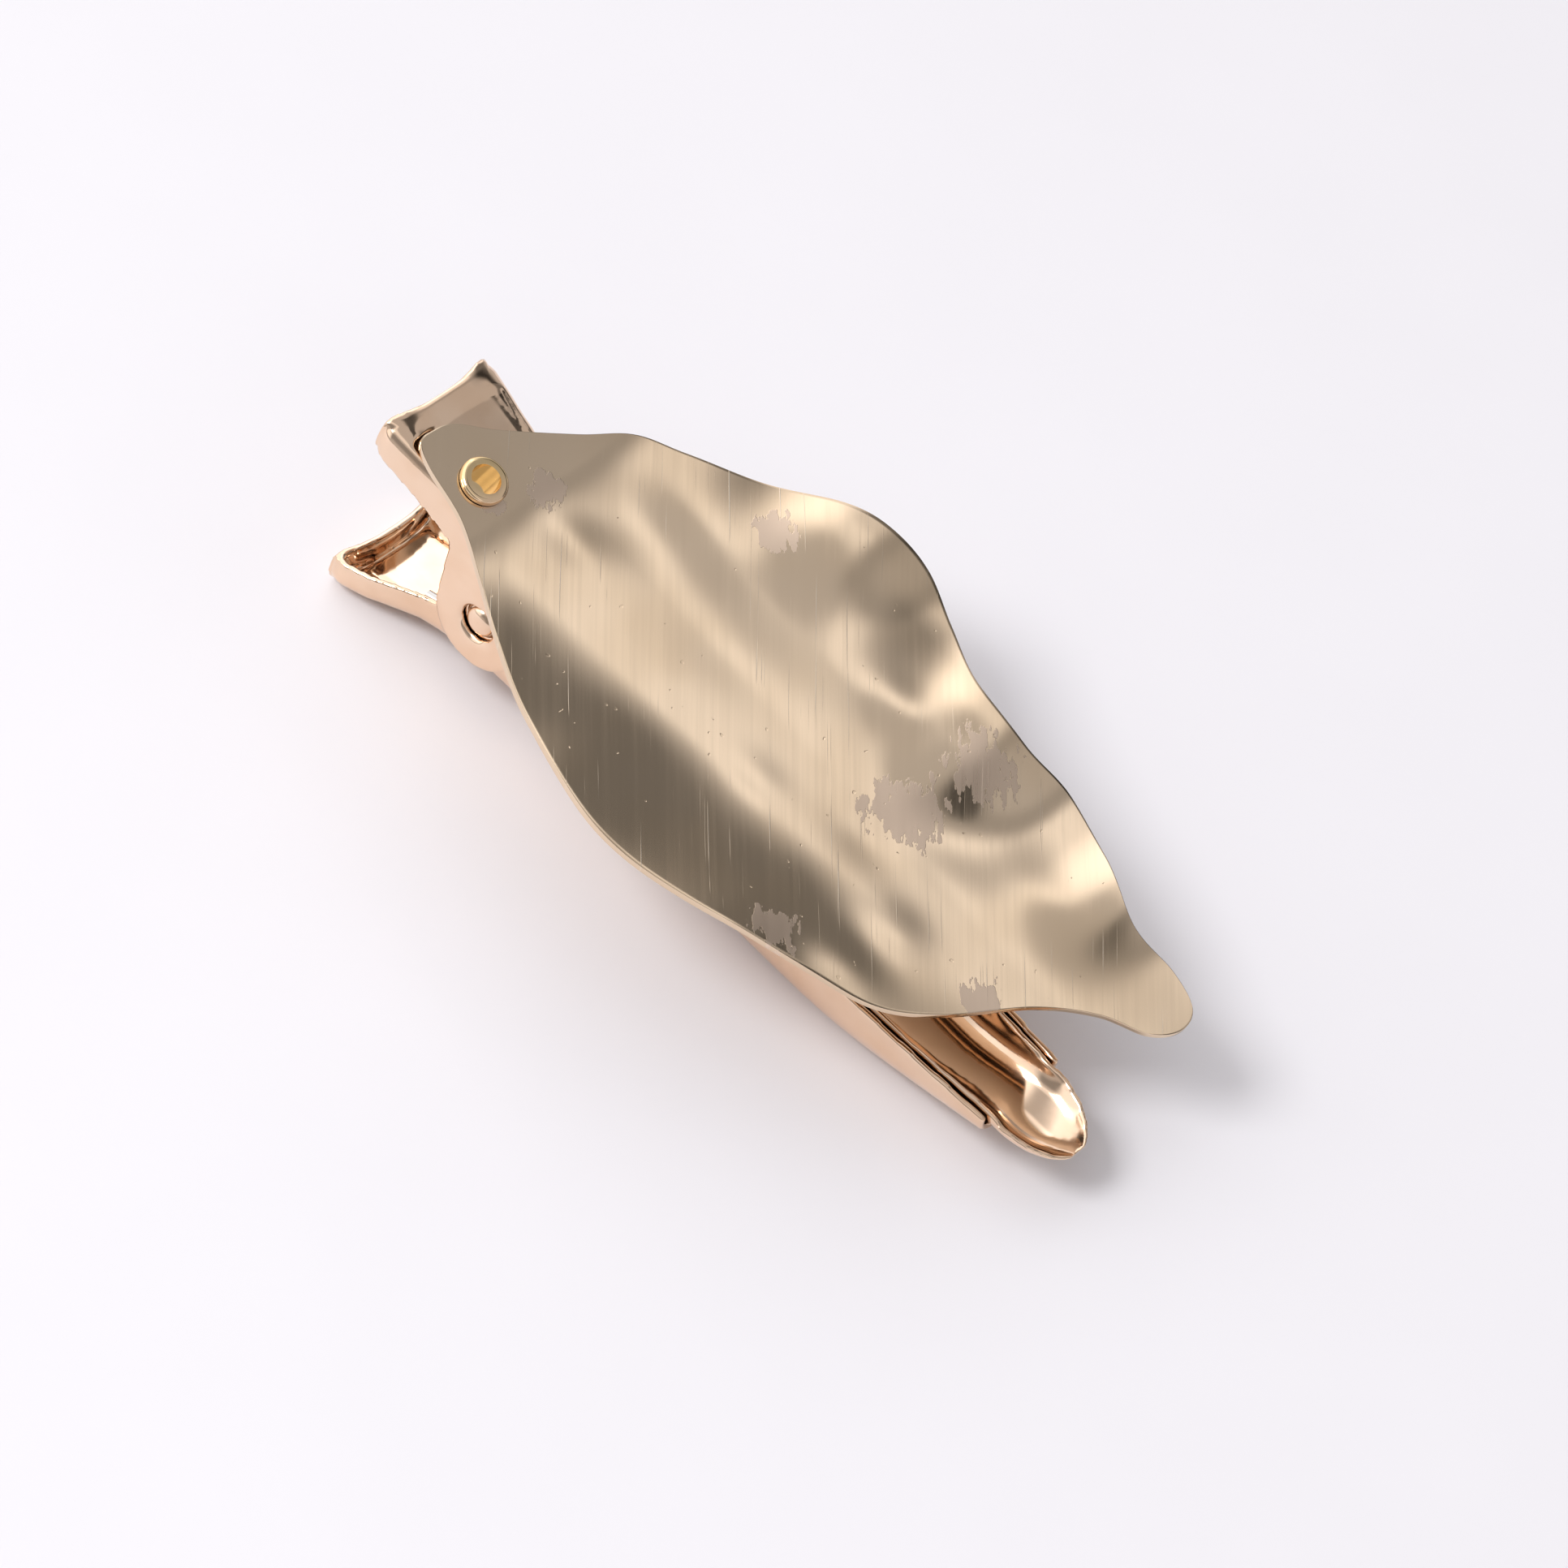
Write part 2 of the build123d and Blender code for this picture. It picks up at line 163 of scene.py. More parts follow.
def deselect():
    """Leaves object mode active with nothing selected."""
    if bpy.context.mode != "OBJECT":
        bpy.ops.object.mode_set(mode="OBJECT")
    bpy.ops.object.select_all(action="DESELECT")


def only(piece):
    """Selects one piece and makes it active."""
    deselect()
    piece.select_set(True)
    bpy.context.view_layer.objects.active = piece


def settle(piece):
    """Puts a piece's place into its mesh, so that the object sits at the origin."""
    only(piece)
    bpy.ops.object.transform_apply(location=True, rotation=True, scale=True)


def use_modifier(piece, kind, **settings):
    """Adds a modifier with its settings and applies it."""
    only(piece)
    modifier = piece.modifiers.new(kind.lower(), kind)
    for key, value in settings.items():
        setattr(modifier, key, value)
    bpy.ops.object.modifier_apply(modifier=modifier.name)


def smooth(piece, angle=35):
    """Smooth shading, broken at edges sharper than the angle in degrees."""
    only(piece)
    bpy.ops.object.shade_smooth_by_angle(angle=radians(angle))


def finish_piece(piece, name, body, material, nodes):
    """Names a piece, gives it its finish, ties it to its body and hides the CAD nodes it replaces."""
    piece.name = name
    piece.data.name = name
    piece.data.materials.clear()
    piece.data.materials.append(material)
    settle(piece)
    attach(piece, body)
    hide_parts(*nodes)
    return piece


def merged_copy(node):
    """A copy of a CAD node with its loose triangles joined up."""
    source = frame["nodes"][node]
    piece = source.copy()
    piece.data = source.data.copy()
    for key in list(piece.keys()):
        del piece[key]
    piece.parent = None
    bpy.context.scene.collection.objects.link(piece)
    only(piece)
    bpy.ops.object.mode_set(mode="EDIT")
    bpy.ops.mesh.select_all(action="SELECT")
    bpy.ops.mesh.customdata_custom_splitnormals_clear()
    bpy.ops.mesh.remove_doubles(threshold=2e-6)
    bpy.ops.mesh.tris_convert_to_quads()
    bpy.ops.object.mode_set(mode="OBJECT")
    return piece


def soften(piece, grain, rounds):
    """Re-skins a piece in even faces and relaxes its edges into pressed, rounded ones."""
    use_modifier(piece, "REMESH", mode="VOXEL", voxel_size=grain, adaptivity=0.0)
    use_modifier(piece, "SMOOTH", factor=0.5, iterations=rounds)
    only(piece)
    bpy.ops.object.shade_smooth()


def relax_region(piece, chosen, rounds):
    """Relaxes only the vertices whose places, in mm from the hinge axis, are chosen."""
    group = piece.vertex_groups.new(name="relaxed")
    for vertex in piece.data.vertices:
        weight = chosen((vertex.co - HINGE) / MM)
        if weight > 0:
            group.add([vertex.index], weight, "REPLACE")
    use_modifier(piece, "SMOOTH", factor=0.5, iterations=rounds, vertex_group="relaxed")
    piece.vertex_groups.remove(piece.vertex_groups["relaxed"])


def on_tab_folds(place):
    """1 on the upper tab's folded top edges, fading towards its rims and the hinge."""
    below_top = web_top(place.x) - place.z
    near_top = 1 - ease((below_top - FOLD_DEPTH) / FOLD_FADE)
    return near_top * (1 - ease((place.x - FOLD_END) / FOLD_RUN))


def in_jaw_tip(place):
    """1 in the bowl of the upper jaw's tip, fading towards its rim and the hinge."""
    rim_z = TIP_RIM_Z - TIP_RIM_FALL * (place.x - TIP_RIM_X)
    inside = ease((rim_z - TIP_MARGIN - place.z) / TIP_FADE)
    weight = TIP_RIM_SHARE + (1 - TIP_RIM_SHARE) * inside
    return ease((place.x - TIP_START) / TIP_RUN) * weight


def round_corners(lever):
    """Rounds the two rear corners of a thumb tab, seen from above."""
    for vertex in lever.data.vertices:
        place = (vertex.co - HINGE) / MM
        behind, beside = CORNER_X - place.x, abs(place.y) - CORNER_Y
        if behind > 0 and beside > 0:
            pull = 1 - max(behind, beside) / hypot(behind, beside)
            vertex.co.x += pull * behind * MM
            vertex.co.y -= pull * beside * MM * (1 if place.y > 0 else -1)


def press_panel(lever):
    """Presses a shallow panel into the upper tab, inside a raised border."""
    for vertex in lever.data.vertices:
        place = (vertex.co - HINGE) / MM
        half = PANEL_HALF + PANEL_FLARE * (PANEL_FLARE_X - place.x)
        rear = PANEL_REAR + PANEL_REAR_CURVE * place.y ** 2
        inside = ease((half - abs(place.y)) / PANEL_SIDE_WALL)
        inside *= ease((place.x - rear) / PANEL_REAR_WALL)
        inside *= 1 - ease((place.x - PANEL_FRONT) / PANEL_FRONT_WALL)
        below_top = web_top(place.x) - place.z
        near_top = 1 - ease((below_top - PANEL_REACH) / PANEL_REACH_FADE)
        vertex.co.z -= PANEL_DEPTH * MM * inside * near_top


# Shader arithmetic

# Numbers of the Mix node's sockets when it mixes colours
FACTOR, COLOUR_A, COLOUR_B, MIXED_COLOUR = 0, 6, 7, 2


class Value:
    """A number that varies over a surface. Python's operators add Math nodes to it."""

    def __init__(self, finish, socket):
        self.finish = finish
        self.socket = socket

    def maths(self, operation, *others):
        """This value and others through one Math node."""
        return self.finish.node("ShaderNodeMath", {"operation": operation}, [self, *others])

    def __add__(self, other):
        return self.maths("ADD", other)

    def __sub__(self, other):
        return self.maths("SUBTRACT", other)

    def __mul__(self, other):
        return self.maths("MULTIPLY", other)

    def __truediv__(self, other):
        return self.maths("DIVIDE", other)

    def __rsub__(self, other):
        return self.finish.node("ShaderNodeMath", {"operation": "SUBTRACT"}, [other, self])

    __radd__ = __add__

    def step(self, low, high):
        """0 below low, 1 above high and smooth between."""
        ramp = {"Value": self, "From Min": low, "From Max": high}
        return self.finish.node("ShaderNodeMapRange", {"interpolation_type": "SMOOTHSTEP"}, ramp)


class Finish:
    """A node tree, and the nodes that are added to it."""

    def __init__(self, name):
        self.material = bpy.data.materials.new(name)
        self.material.use_nodes = True
        self.tree = self.material.node_tree
        self.shader = self.tree.nodes["Principled BSDF"]
        self.place = self.node("ShaderNodeTexCoord", {}, {}, "Object")

    def node(self, kind, settings, values, output=0):
        """Adds a node: settings first, then a value or a link for each socket."""
        node = self.tree.nodes.new(kind)
        for key, value in settings.items():
            setattr(node, key, value)
        pairs = values.items() if isinstance(values, dict) else enumerate(values)
        for key, value in pairs:
            self.feed(node.inputs[key], value)
        return Value(self, node.outputs[output])

    def feed(self, socket, value):
        """Links a varying value to a socket, or sets a constant on it."""
        if isinstance(value, Value):
            self.tree.links.new(value.socket, socket)
        else:
            socket.default_value = value

    def set(self, **values):
        """Feeds the Principled shader's sockets; underscores stand for spaces."""
        for key, value in values.items():
            self.feed(self.shader.inputs[key.replace("_", " ")], value)

    def mix(self, factor, first, second):
        """Two colours mixed by a varying factor."""
        values = {FACTOR: factor, COLOUR_A: first, COLOUR_B: second}
        return self.node("ShaderNodeMix", {"data_type": "RGBA"}, values, MIXED_COLOUR)

    def spread(self, scale, turn=0.0, shift=(0, 0, 0)):
        """Object coordinates turned about Z and scaled, per metre along each axis."""
        turned = {"Vector": self.place, "Rotation": (0, 0, turn), "Location": shift}
        moved = self.node("ShaderNodeMapping", {"vector_type": "POINT"}, turned)
        scaled = {"Vector": moved, "Scale": scale}
        return self.node("ShaderNodeMapping", {"vector_type": "POINT"}, scaled)

    def noise(self, scale, turn=0.0, detail=3.0, rough=0.5, shift=(0, 0, 0)):
        """Fractal noise whose grains are 1 / scale metres long on each axis."""
        place = self.spread(scale, turn, shift)
        values = {"Vector": place, "Scale": 1.0, "Detail": detail, "Roughness": rough}
        return self.node("ShaderNodeTexNoise", {"noise_dimensions": "3D"}, values)

    def bump(self, height, strength, distance):
        """A normal bent by a height."""
        values = {"Strength": strength, "Distance": distance, "Height": height}
        return self.node("ShaderNodeBump", {}, values)


def grains(x, y, z):
    """A noise scale for grains of these sizes in metres."""
    return (1 / x, 1 / y, 1 / z)


def even(size):
    """The same for grains of one size on all three axes."""
    return grains(size, size, size)


def colour(property_value):
    """A colour property with full opacity."""
    return (*property_value, 1.0)


def painted_reflection_patch(gold, ragged, x, y, radius):
    """A mask of one patch of painted reflection: a disc whose hard edge a noise makes ragged."""
    centre = HINGE + Vector((x, y, spine_height(x))) * MM
    values = {0: gold.place, 1: tuple(centre)}
    distance = gold.node("ShaderNodeVectorMath", {"operation": "DISTANCE"}, values, "Value")
    edge = distance / (radius * MM) + (ragged - 0.5) * RAGGEDNESS
    return 1 - edge.step(0.97, 1.03)


def painted_reflection_patches(gold):
    """A mask of all the patches of painted reflection."""
    ragged = gold.noise(grains(*RAGGED_GRAIN), STREAK_TURN, 3.0, 0.6)
    mask, *others = [painted_reflection_patch(gold, ragged, *reflection_patch) for reflection_patch in REFLECTION_PATCHES]
    for other in others:
        mask = mask.maths("MAXIMUM", other)
    return mask


def leaf_finish(look):
    """Mirror-polished champagne gold: drawn streaks, rubbed haze, pinkish patches of painted reflection
    and specks.
    """
    gold = Finish("champagne_gold_leaf")
    streaks = gold.noise(grains(*STREAK_GRAIN), STREAK_TURN, 4.0, 0.6)
    scratches = gold.noise(grains(*SCRATCH_GRAIN), STREAK_TURN, 2.0, 0.5, (0.3, 0, 0))
    cloud = gold.noise(even(CLOUD_GRAIN), 0.0, 2.0, 0.5)
    where = gold.noise(even(RUBBED_GRAIN), 0.0, 2.0, 0.5, (0.1, 0.2, 0))
    pits = gold.noise(even(PIT_GRAIN), 0.0, 1.0, 0.5).step(0.77, 0.8)
    fine = scratches.step(0.66, 0.72) * where.step(0.45, 0.62)
    reflection_patch = painted_reflection_patches(gold)
    tone = gold.mix(cloud.step(0.35, 0.7), colour(look.leaf_colour), colour(look.leaf_shade))
    tone = gold.mix(fine * 0.5, tone, colour(look.leaf_pale))
    # painted reflection: pinkish-beige patches mixed into the leaf's colour; the same patches also
    # roughen and raise it
    tone = gold.mix(reflection_patch * 0.8, tone, colour(look.reflection_patch_colour))
    tone = gold.mix(pits * 0.6, tone, colour(look.leaf_shade))
    haze = LEAF_ROUGHNESS + streaks.step(0.35, 0.75) * 0.04 + cloud.step(0.4, 0.7) * 0.04
    haze = haze + fine * 0.12 + reflection_patch * 0.16
    height = streaks * 0.15 + fine * 0.4 - pits * 2.0 + reflection_patch * 0.5
    gold.set(Base_Color=tone, Metallic=1.0, Roughness=haze)
    gold.set(Normal=gold.bump(height, look.streak_strength, STREAK_DEPTH))
    return gold.material


def plated_finish(name, base, shade, roughness):
    """Polished plating on pressed steel, slightly wavy, with hazy handling marks."""
    plating = Finish(name)
    cloud = plating.noise(even(STAIN_GRAIN), 0.0, 3.0, 0.5)
    smear = plating.noise(grains(*SMEAR_GRAIN), 0.0, 3.0, 0.6)
    waves = plating.noise(even(WAVE_GRAIN), 0.0, 1.0, 0.4)
    tone = plating.mix(cloud.step(0.35, 0.7), colour(base), colour(shade))
    haze = roughness + cloud.step(0.45, 0.7) * 0.05 + smear.step(0.5, 0.75) * 0.07
    plating.set(Base_Color=tone, Metallic=1.0, Roughness=haze)
    plating.set(Normal=plating.bump(waves, 0.25, WAVE_DEPTH))
    return plating.material


# The leaf's shape

def web_top(x):
    """Height of the upper lever's flat tab above the hinge axis."""
    return TAB_REAR_Z - TAB_SLOPE * (x - TAB_REAR_X)


def spine_height(x):
    """Height of the leaf's top along its length: flat on the tab, then level with the jaw."""
    ahead = max(x - BEND_X, 0.0)
    tab_top = web_top(min(x, BEND_X)) + PLATE_LIFT + PLATE
    return tab_top - PLATE_FALL * ahead - BEND_DROP * (1 - exp(-ahead / BEND_LENGTH))


def ripple(x, y):
    """Waves along the beaten leaf's left edge, and the lift of both long edges."""
    onset = LEFT_WAVE_START - LEFT_WAVE_WIDENING * ease((x - LEFT_WAVE_WIDENS) / WAVE_CHANGE)
    left = ease((y - onset) / LEFT_WAVE_SPREAD) * (1 - ease((x - LEFT_WAVE_ENDS) / WAVE_CHANGE))
    slant = RIGHT_LIFT_SLANT * (x - LEAF_MIDDLE.x)
    right = ease((RIGHT_LIFT_START - y + slant) / RIGHT_LIFT_SPREAD)
    right *= 1 - RIGHT_LIFT_LOSS * ease((x - RIGHT_LIFT_FALLS) / RIGHT_LIFT_CHANGE)
    right_wave = RIGHT_WAVE * sin(2 * pi * (x - RIGHT_WAVE_SHIFT) / RIGHT_WAVE_LENGTH)
    height = LEFT_WAVE * left * sin(2 * pi * (x - LEFT_WAVE_SHIFT) / LEFT_WAVE_LENGTH)
    height += right * (RIGHT_LIFT + right_wave)
    height += LEFT_LIFT * ease((y - LEFT_LIFT_START) / LEFT_LIFT_SPREAD)
    return height * ease((x - BEND_X + 1) / RIPPLE_RAMP)


def dents(x, y):
    """Height of the small dents beaten into the leaf."""
    height = 0.0
    for at_x, at_y, depth, along, across in DENTS:
        height += depth * exp(-((x - at_x) / along) ** 2 - ((y - at_y) / across) ** 2)
    return height


def outline_point(position):
    """A point of the closed outline on a smooth curve through its corners."""
    count = len(LEAF_OUTLINE)
    index = int(position // 1)
    t = position - index
    a, b, c, d = (Vector(LEAF_OUTLINE[(index + k) % count]) for k in (-1, 0, 1, 2))
    square = (2 * a - 5 * b + 4 * c - d) * t ** 2
    cube = (3 * b - a - 3 * c + d) * t ** 3
    return 0.5 * (2 * b + (c - a) * t + square + cube)


def leaf_point(u, v):
    """A point of the flat leaf: u runs from rear to tip and v from the right edge to the left."""
    count = len(LEAF_OUTLINE)
    right = outline_point(REAR_RIGHT + u * (TIP_RIGHT - REAR_RIGHT))
    left = outline_point(REAR_LEFT + u * (TIP_LEFT - REAR_LEFT))
    rear = outline_point(REAR_RIGHT + count + v * (REAR_LEFT - REAR_RIGHT - count))
    tip = outline_point(TIP_RIGHT + v * (TIP_LEFT - TIP_RIGHT))
    low_edge = (1 - u) * outline_point(REAR_RIGHT) + u * outline_point(TIP_RIGHT)
    high_edge = (1 - u) * outline_point(REAR_LEFT) + u * outline_point(TIP_LEFT)
    flat = (1 - v) * (right - low_edge) + v * (left - high_edge) + (1 - u) * rear + u * tip
    return LEAF_MIDDLE + (flat - LEAF_MIDDLE) * LEAF_TRIM


def drill_rivet_hole(leaf, radius):
    """Pierces the leaf for its rivet, square to the tab under it."""
    seat = HINGE + Vector((RIVET_X, RIVET_Y, web_top(RIVET_X))) * MM
    tilt = Vector((TAB_SLOPE, 0, 1)).to_track_quat("Z", "Y").to_euler()
    deselect()
    bpy.ops.mesh.primitive_cylinder_add(
        vertices=64, radius=radius, depth=4 * MM, location=seat, rotation=tilt)
    drill = bpy.context.active_object
    use_modifier(leaf, "BOOLEAN", operation="DIFFERENCE", object=drill, solver="EXACT")
    bpy.data.objects.remove(drill)


def make_leaf(look):
    """The leaf plate: a grid fitted to the outline, rippled, thickened and pierced."""
    deselect()
    bpy.ops.mesh.primitive_grid_add(x_subdivisions=LEAF_COLUMNS, y_subdivisions=LEAF_ROWS, size=1)
    leaf = bpy.context.active_object
    for vertex in leaf.data.vertices:
        flat = leaf_point(vertex.co.x + 0.5, vertex.co.y + 0.5)
        height = spine_height(flat.x) + ripple(flat.x, flat.y) + dents(flat.x, flat.y)
        vertex.co = HINGE + Vector((flat.x, flat.y, height)) * MM
    use_modifier(leaf, "SOLIDIFY", thickness=look.leaf_thickness, offset=-1.0)
    use_modifier(leaf, "BEVEL", width=LEAF_BEVEL * MM, segments=2, limit_method="ANGLE",
                 angle_limit=radians(50))
    drill_rivet_hole(leaf, look.rivet_hole_radius)
    smooth(leaf, 40)
    return leaf


class ClipLook(bpy.types.PropertyGroup):
    """Sizes, finishes and studio of the hair clip."""

    leaf_thickness: bpy.props.FloatProperty(
        name="Leaf thickness", description="Thickness of the beaten leaf", unit="LENGTH",
        default=(PLATE - 0.02) * MM, min=0.1 * MM, max=PLATE * MM, precision=5)
    rivet_hole_radius: bpy.props.FloatProperty(
        name="Rivet hole", description="Radius of the leaf's hole for its rivet", unit="LENGTH",
        default=1.32 * MM, min=1.3 * MM, max=1.7 * MM, precision=5)
    lever_grain: bpy.props.FloatProperty(
        name="Lever grain", description="Size of the faces of the pressed levers", unit="LENGTH",
        default=0.165 * MM, min=0.1 * MM, max=0.3 * MM, precision=6)
    leaf_colour: bpy.props.FloatVectorProperty(
        name="Leaf", description="Champagne gold of the leaf", subtype="COLOR", size=3,
        min=0, max=1, default=(0.80, 0.635, 0.465))
    leaf_shade: bpy.props.FloatVectorProperty(
        name="Leaf shade", description="Deeper gold in the leaf's clouds", subtype="COLOR", size=3,
        min=0, max=1, default=(0.76, 0.59, 0.415))
    leaf_pale: bpy.props.FloatVectorProperty(
        name="Leaf scratches", description="Pale rubbed lines on the leaf", subtype="COLOR", size=3,
        min=0, max=1, default=(0.93, 0.84, 0.72))
    # colour of the leaf's patches of painted reflection
    reflection_patch_colour: bpy.props.FloatVectorProperty(
        name="Painted reflection", description="Pinkish beige of the leaf's patches of painted reflection",
        subtype="COLOR", size=3, min=0, max=1, default=(0.80, 0.63, 0.50))
    lever_colour: bpy.props.FloatVectorProperty(
        name="Levers", description="Rose gold of the levers", subtype="COLOR", size=3,
        min=0, max=1, default=(0.90, 0.675, 0.50))
    lever_shade: bpy.props.FloatVectorProperty(
        name="Lever shade", description="Deeper rose gold of the levers", subtype="COLOR", size=3,
        min=0, max=1, default=(0.86, 0.62, 0.44))
    rivet_colour: bpy.props.FloatVectorProperty(
        name="Rivet", description="Yellow gold of the rivet", subtype="COLOR", size=3,
        min=0, max=1, default=(0.90, 0.68, 0.38))
    steel_colour: bpy.props.FloatVectorProperty(
        name="Spring", description="Bright steel of the spring", subtype="COLOR", size=3,
        min=0, max=1, default=(0.60, 0.58, 0.56))
    floor_colour: bpy.props.FloatVectorProperty(
        name="Floor", description="Pale lilac-white table", subtype="COLOR", size=3,
        min=0, max=1, default=(0.80, 0.785, 0.82))
    streak_strength: bpy.props.FloatProperty(
        name="Streaks", description="Depth of the leaf's drawn streaks", default=0.35, min=0, max=1)
    floor_size: bpy.props.FloatProperty(
        name="Table", description="Side of the square table top", default=2.4, min=0.5, unit="LENGTH")
    key_power: bpy.props.FloatProperty(
        name="Key light", description="Power of the soft key light, watts", default=3.0, min=0)
    key_size: bpy.props.FloatProperty(
        name="Key size", description="Side of the square key light", default=0.25, min=0.01,
        unit="LENGTH")
    camera_azimuth: bpy.props.FloatProperty(
        name="Azimuth", description="Camera's turn about Z, from straight in front of the right side",
        default=radians(23.12), subtype="ANGLE")
    camera_elevation: bpy.props.FloatProperty(
        name="Elevation", description="Camera's angle above the table", default=radians(50.37),
        subtype="ANGLE")
    camera_roll: bpy.props.FloatProperty(
        name="Roll", description="Camera's turn about its line of sight", default=radians(24.74),
        subtype="ANGLE")
    camera_distance: bpy.props.FloatProperty(
        name="Camera distance", description="From the camera to the clip", default=0.45, min=0.1,
        unit="LENGTH")
    view_width: bpy.props.FloatProperty(
        name="View width", description="Width of what the camera sees at the clip", default=0.105,
        min=0.01, unit="LENGTH")


class CLIP_OT_leaf(bpy.types.Operator):
    """Make the beaten leaf plate"""

    bl_idname = "clip.leaf"
    bl_label = "Leaf plate"

    def execute(self, context):
        look = context.scene.clip_look
        leaf = make_leaf(look)
        finish_piece(leaf, "beaten_leaf", UPPER, leaf_finish(look), ["leaf_plate"])
        return {"FINISHED"}


class CLIP_OT_levers(bpy.types.Operator):
    """Make the two pressed levers"""

    bl_idname = "clip.levers"
    bl_label = "Levers"

    def execute(self, context):
        look = context.scene.clip_look
        roughness = PLATING_ROUGHNESS["lever"]
        plating = plated_finish("rose_gold_plating", look.lever_colour, look.lever_shade, roughness)
        levers = (("lower_lever", "bottom_lever", LOWER), ("upper_lever", "top_lever", UPPER))
        for node, name, body in levers:
            lever = merged_copy(node)
            soften(lever, look.lever_grain, SOFTEN_ROUNDS)
            if node == "upper_lever":
                relax_region(lever, on_tab_folds, FOLD_ROUNDS)
                relax_region(lever, in_jaw_tip, TIP_ROUNDS)
                press_panel(lever)
            round_corners(lever)
            finish_piece(lever, name, body, plating, [node])
        return {"FINISHED"}


class CLIP_OT_pin(bpy.types.Operator):
    """Make the hinge pin"""

    bl_idname = "clip.pin"
    bl_label = "Hinge pin"

    def execute(self, context):
        look = context.scene.clip_look
        roughness = PLATING_ROUGHNESS["pin"]
        plating = plated_finish("rose_gold_pin", look.lever_colour, look.lever_shade, roughness)
        pin = merged_copy("hinge_pin")
        smooth(pin)
        finish_piece(pin, "cross_pin", LOWER, plating, ["hinge_pin"])
        return {"FINISHED"}


class CLIP_OT_rivet(bpy.types.Operator):
    """Make the rivet that holds the leaf"""

    bl_idname = "clip.rivet"
    bl_label = "Rivet"

    def execute(self, context):
        look = context.scene.clip_look
        roughness = PLATING_ROUGHNESS["rivet"]
        plating = plated_finish("yellow_gold_rivet", look.rivet_colour, look.lever_shade, roughness)
        rivet = merged_copy("plate_rivet")
        smooth(rivet)
        finish_piece(rivet, "leaf_rivet", UPPER, plating, ["plate_rivet"])
        return {"FINISHED"}


class CLIP_OT_spring(bpy.types.Operator):
    """Make the torsion spring, a smoothed copy tied to neither body"""

    bl_idname = "clip.spring"
    bl_label = "Torsion spring"

    def execute(self, context):
        look = context.scene.clip_look
        roughness = PLATING_ROUGHNESS["spring"]
        steel = plated_finish("spring_steel", look.steel_colour, look.steel_colour, roughness)
        spring = merged_copy("torsion_spring")
        smooth(spring, 60)
        spring.name = "coil_spring"
        spring.data.materials.clear()
        spring.data.materials.append(steel)
        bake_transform(spring)
        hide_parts("torsion_spring")
        return {"FINISHED"}


def aim(thing, place, target):
    """Puts a light or camera at a place, looking at the target."""
    thing.location = place
    thing.rotation_euler = (Vector(target) - Vector(place)).to_track_quat("-Z", "Y").to_euler()


def soft_box(name, place, target, size, power):
    """A square area light."""
    lamp = bpy.data.lights.new(name, "AREA")
    lamp.shape = "RECTANGLE"
    lamp.size, lamp.size_y = size, size
    lamp.energy = power
    box = bpy.data.objects.new(name, lamp)
    bpy.context.scene.collection.objects.link(box)
    aim(box, place, target)


def make_floor(look):
    """A plain pale table with a very faint mottle."""
    deselect()
    bpy.ops.mesh.primitive_plane_add(size=look.floor_size, location=(0, 0, 0))
    floor = bpy.context.active_object
    floor.name = "table_top"
    paint = Finish("pale_table")
    grain = paint.noise(even(0.02), 0.0, 2.0, 0.5)
    deeper = tuple(0.99 * c for c in look.floor_colour)
    tone = paint.mix(grain.step(0.3, 0.7), colour(look.floor_colour), colour(deeper))
    paint.set(Base_Color=tone, Roughness=0.55, Specular_IOR_Level=0.2)
    floor.data.materials.append(paint.material)


class Sky(Finish):
    """The room around the clip, whose brightness changes with direction."""

    def __init__(self, name):
        self.world = bpy.data.worlds.new(name)
        self.world.use_nodes = True
        self.tree = self.world.node_tree
        self.shader = self.tree.nodes["Background"]
        self.way = self.node("ShaderNodeTexCoord", {}, {}, "Generated")

    def part(self, axis):
        """One component of the direction looked in."""
        return self.node("ShaderNodeSeparateXYZ", {}, {"Vector": self.way}, axis)


def band(value, low, peak_low, peak_high, high):
    """1 between the peaks, falling smoothly to 0 at low and high."""
    return value.step(low, peak_low) * (1 - value.step(peak_high, high))


def make_world():
    """Studio surroundings: a pale room with bright strips, dim walls, a card and a screen."""
    sky = Sky("studio")
    across, along, up = sky.part("X"), sky.part("Y"), sky.part("Z")
    strip = band(along, *FAR_STRIP) * (1 - across.step(-0.02, 0.1))
    window = 1 - across.step(-0.42, -0.18)
    wall = band(along, *FAR_WALL)
    near_strip = band(0 - along, *NEAR_STRIP) * up.step(0.1, 0.3)
    near_wall = band(0 - along, *NEAR_WALL)
    card = band(across, *CARD) * along.step(0.2, 0.4)
    screen = band(across, *SCREEN_ACROSS) * band(along, *SCREEN_ALONG)
    above = up.step(0.0, 0.2) * (strip * 0.62 + window * 0.95 - card * 0.15)
    glow = ROOM_LIGHT + above - wall * 0.36 + near_strip * 0.4 - near_wall * 0.25
    glow = glow * (1 - screen * 0.85)
    sky.set(Color=(1.0, 0.985, 0.99, 1.0), Strength=glow)
    bpy.context.scene.world = sky.world


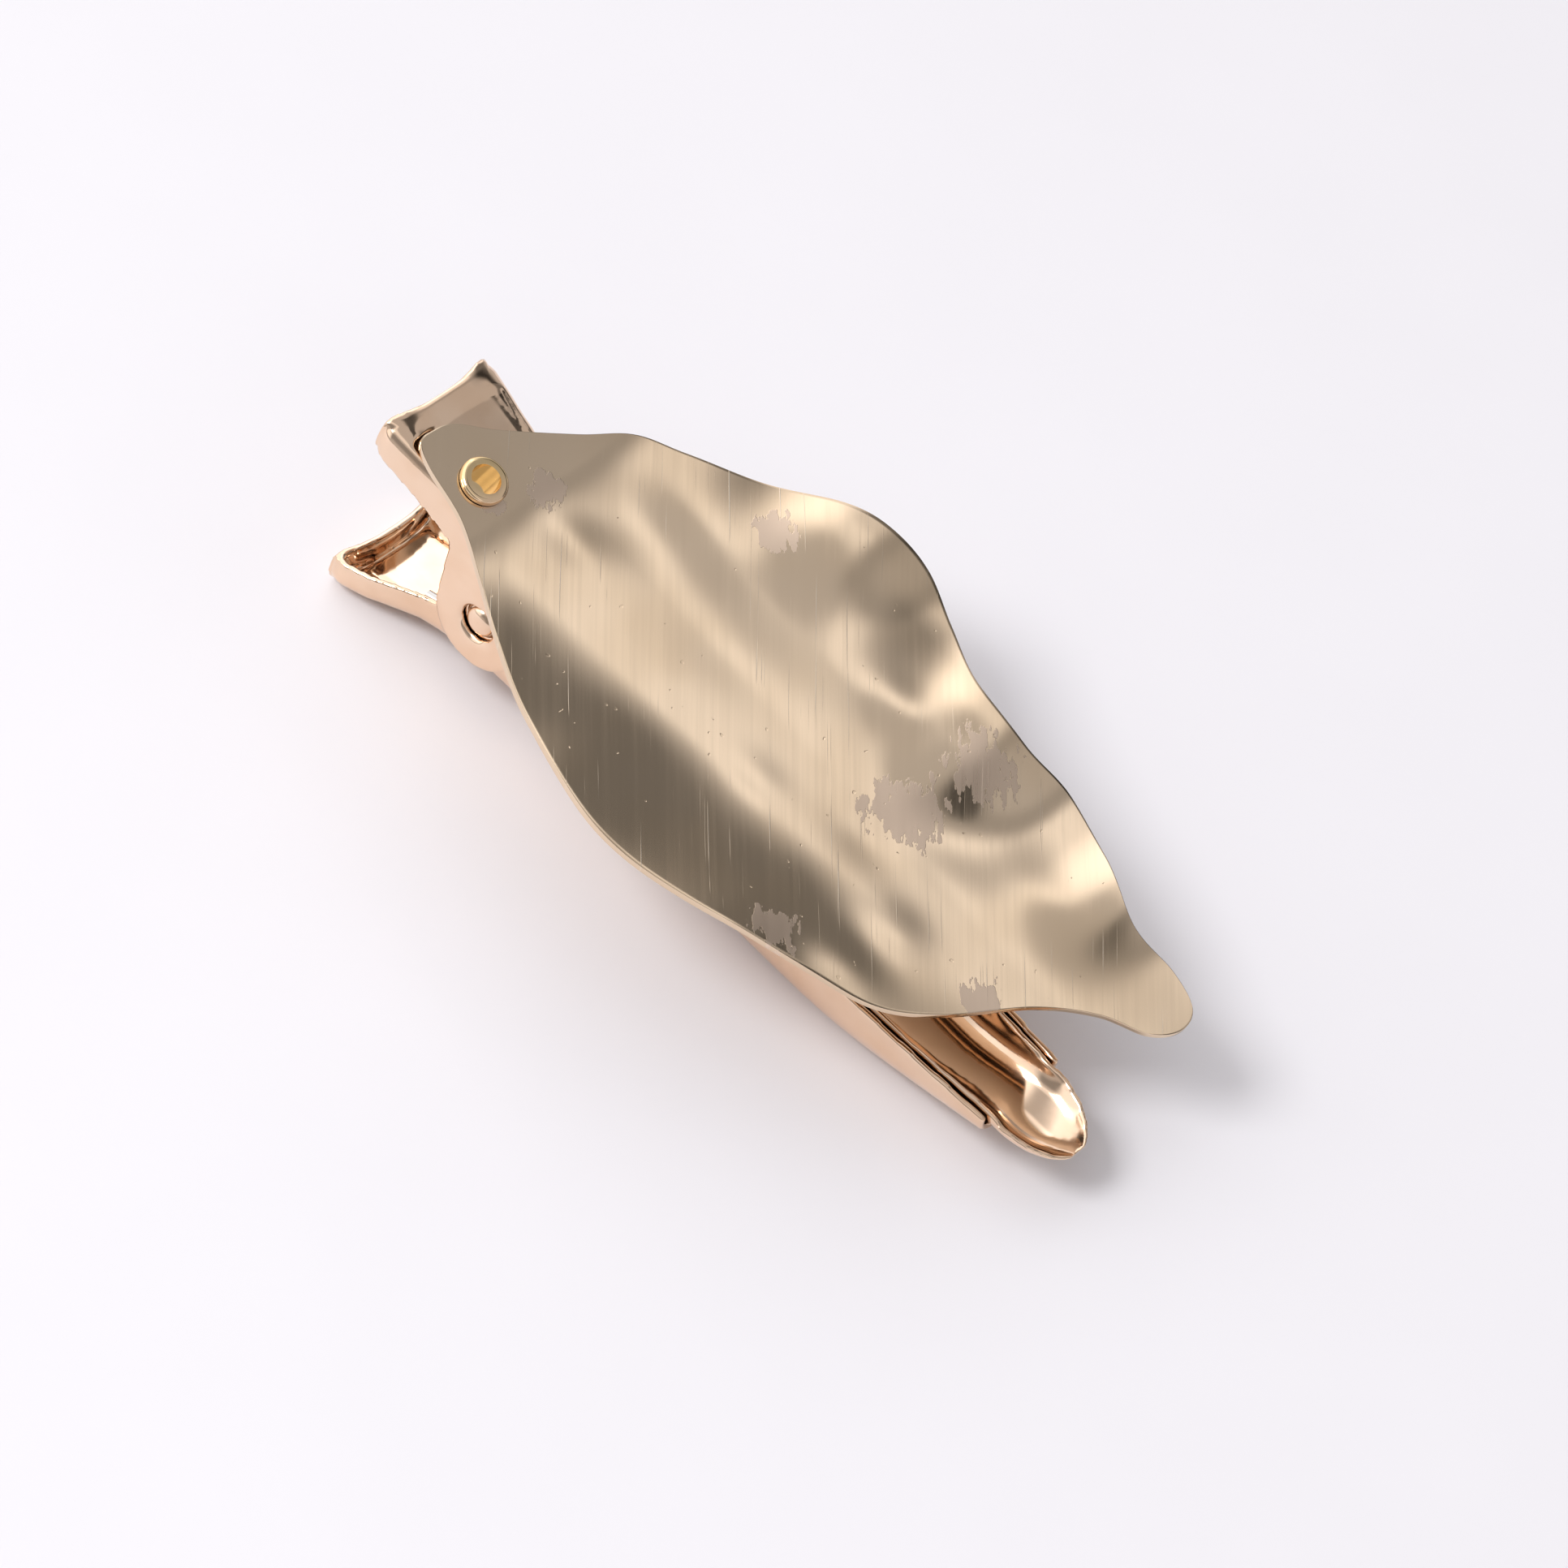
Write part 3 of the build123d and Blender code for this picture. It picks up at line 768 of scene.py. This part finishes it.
def make_camera(look):
    """The camera, looking down at the clip's right side, and rolled about its line of sight."""
    lens = bpy.data.cameras.new("camera")
    camera = bpy.data.objects.new("camera", lens)
    bpy.context.scene.collection.objects.link(camera)
    tilt = Matrix.Rotation(pi / 2 - look.camera_elevation, 4, "X")
    turn = Matrix.Rotation(look.camera_azimuth, 4, "Z") @ tilt @ Matrix.Rotation(look.camera_roll, 4, "Z")
    place = Matrix.Translation((0, 0, look.camera_distance))
    camera.matrix_world = Matrix.Translation(HINGE + CAMERA_TARGET * MM) @ turn @ place
    lens.sensor_width = SENSOR_WIDTH
    lens.lens = SENSOR_WIDTH * look.camera_distance / look.view_width
    lens.clip_start = 0.01
    lens.dof.use_dof = False
    bpy.context.scene.camera = camera


class CLIP_OT_stage(bpy.types.Operator):
    """Set the table, the soft studio light and the camera"""

    bl_idname = "clip.stage"
    bl_label = "Stage"

    def execute(self, context):
        look = context.scene.clip_look
        context.scene.view_settings.view_transform = "Standard"
        make_floor(look)
        make_world()
        middle = HINGE + CLIP_MIDDLE * MM
        soft_box("key_box", middle + KEY_OFFSET, middle, look.key_size, look.key_power)
        make_camera(look)
        return {"FINISHED"}


class CLIP_PT_panel(bpy.types.Panel):
    """Sidebar panel with the clip's pieces and finishes"""

    bl_idname = "CLIP_PT_panel"
    bl_label = "Hair Clip"
    bl_space_type = "VIEW_3D"
    bl_region_type = "UI"
    bl_category = "Hair Clip"

    def draw(self, context):
        for operator in OPERATORS:
            self.layout.operator(operator.bl_idname)
        for name in ClipLook.__annotations__:
            self.layout.prop(context.scene.clip_look, name)


OPERATORS = (
    CLIP_OT_leaf, CLIP_OT_levers, CLIP_OT_pin, CLIP_OT_rivet, CLIP_OT_spring, CLIP_OT_stage,
)
CLASSES = (ClipLook, *OPERATORS, CLIP_PT_panel)


def register():
    for cls in CLASSES:
        bpy.utils.register_class(cls)
    bpy.types.Scene.clip_look = bpy.props.PointerProperty(type=ClipLook)


def unregister():
    del bpy.types.Scene.clip_look
    for cls in reversed(CLASSES):
        bpy.utils.unregister_class(cls)


def main():
    register()
    bpy.ops.clip.leaf()
    bpy.ops.clip.levers()
    bpy.ops.clip.pin()
    bpy.ops.clip.rivet()
    bpy.ops.clip.spring()
    bpy.ops.clip.stage()


if __name__ == "__main__":
    main()
